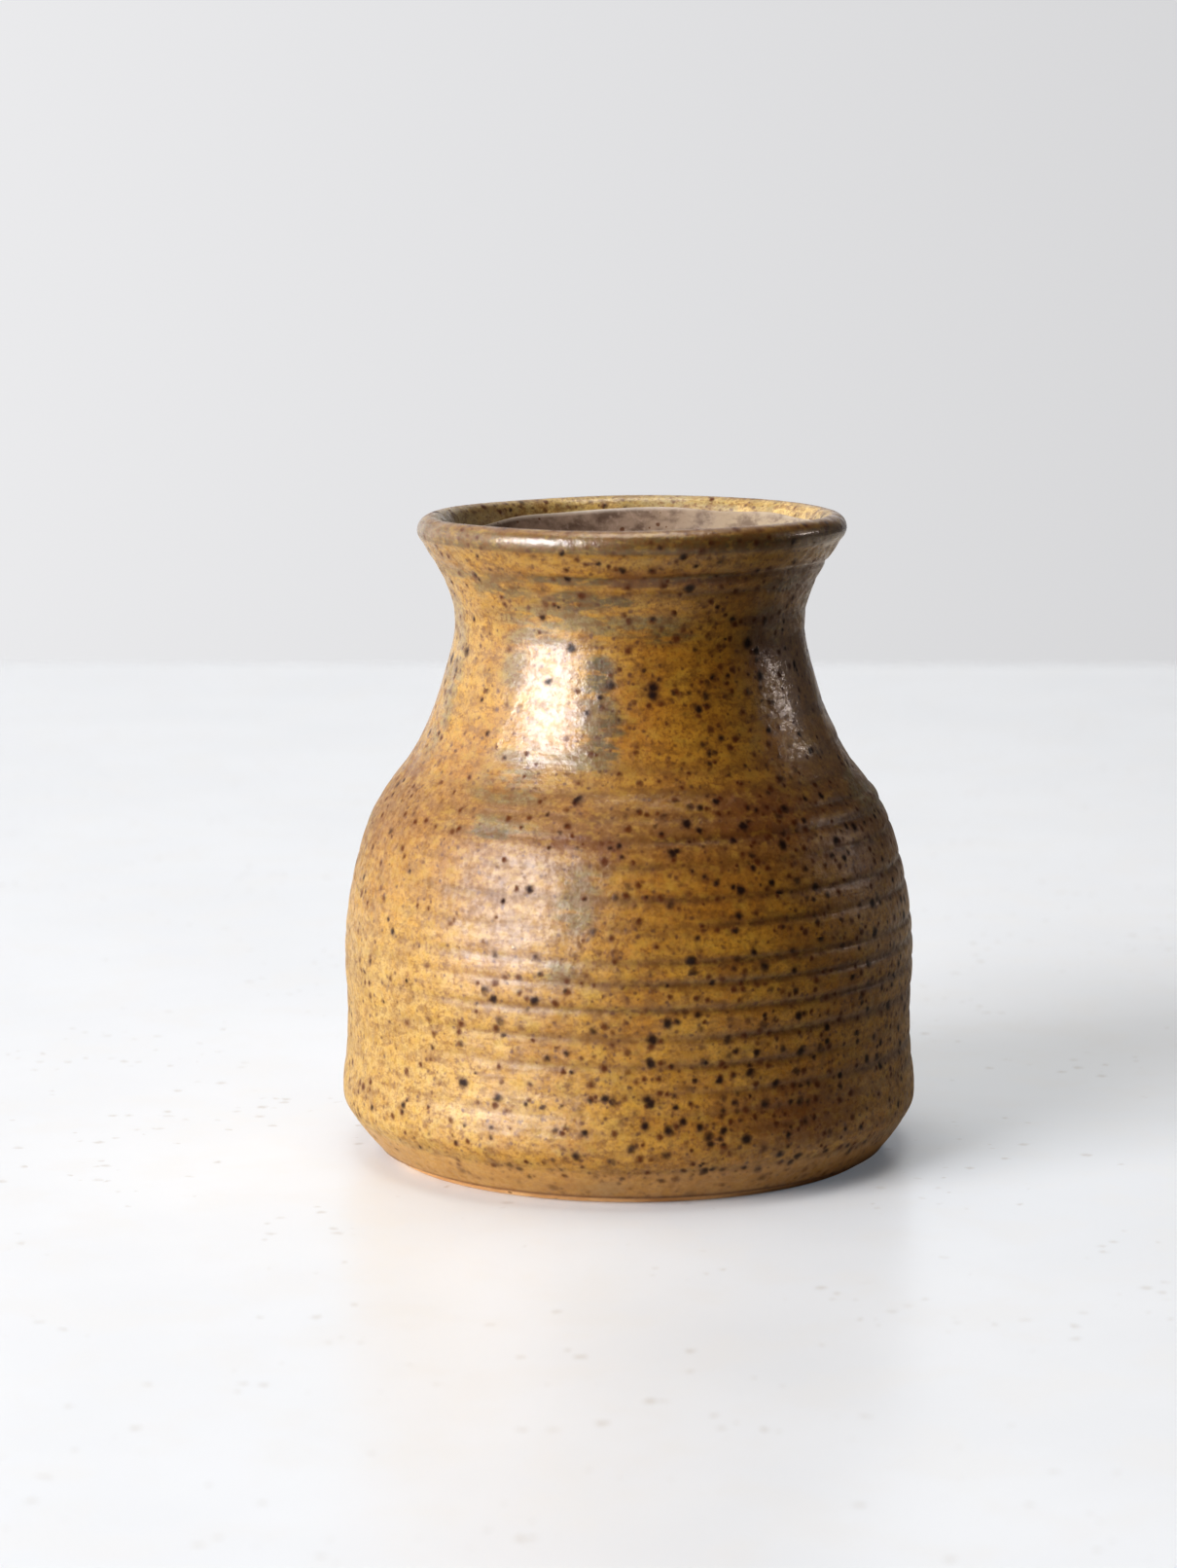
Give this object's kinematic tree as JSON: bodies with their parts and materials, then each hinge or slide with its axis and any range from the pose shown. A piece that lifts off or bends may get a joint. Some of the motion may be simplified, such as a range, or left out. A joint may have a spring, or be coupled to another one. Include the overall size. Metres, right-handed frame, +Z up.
{
  "type": "stoneware bud vase",
  "caption": "Small wheel-thrown stoneware vase: bevelled foot, full belly, waisted neck and flared beaded mouth, with separate outer glaze and liner glaze coats.",
  "frame": {"origin": "centre of the flat ring that the foot rests on", "axes": "+Z up along the axis the vase was thrown about; +X and +Y are arbitrary, and the pictured side faces -Y"},
  "size_m": [0.0968, 0.0968, 0.107],
  "materials": {
    "bare_clay": "matte",
    "speckled_amber_glaze": "satin gloss, iron specks",
    "grey_liner_glaze": "gloss"
  },
  "bodies": {
    "root": {"clay_body": "bare_clay", "outer_glaze": "speckled_amber_glaze", "liner_glaze": "grey_liner_glaze"}
  },
  "joints": []
}
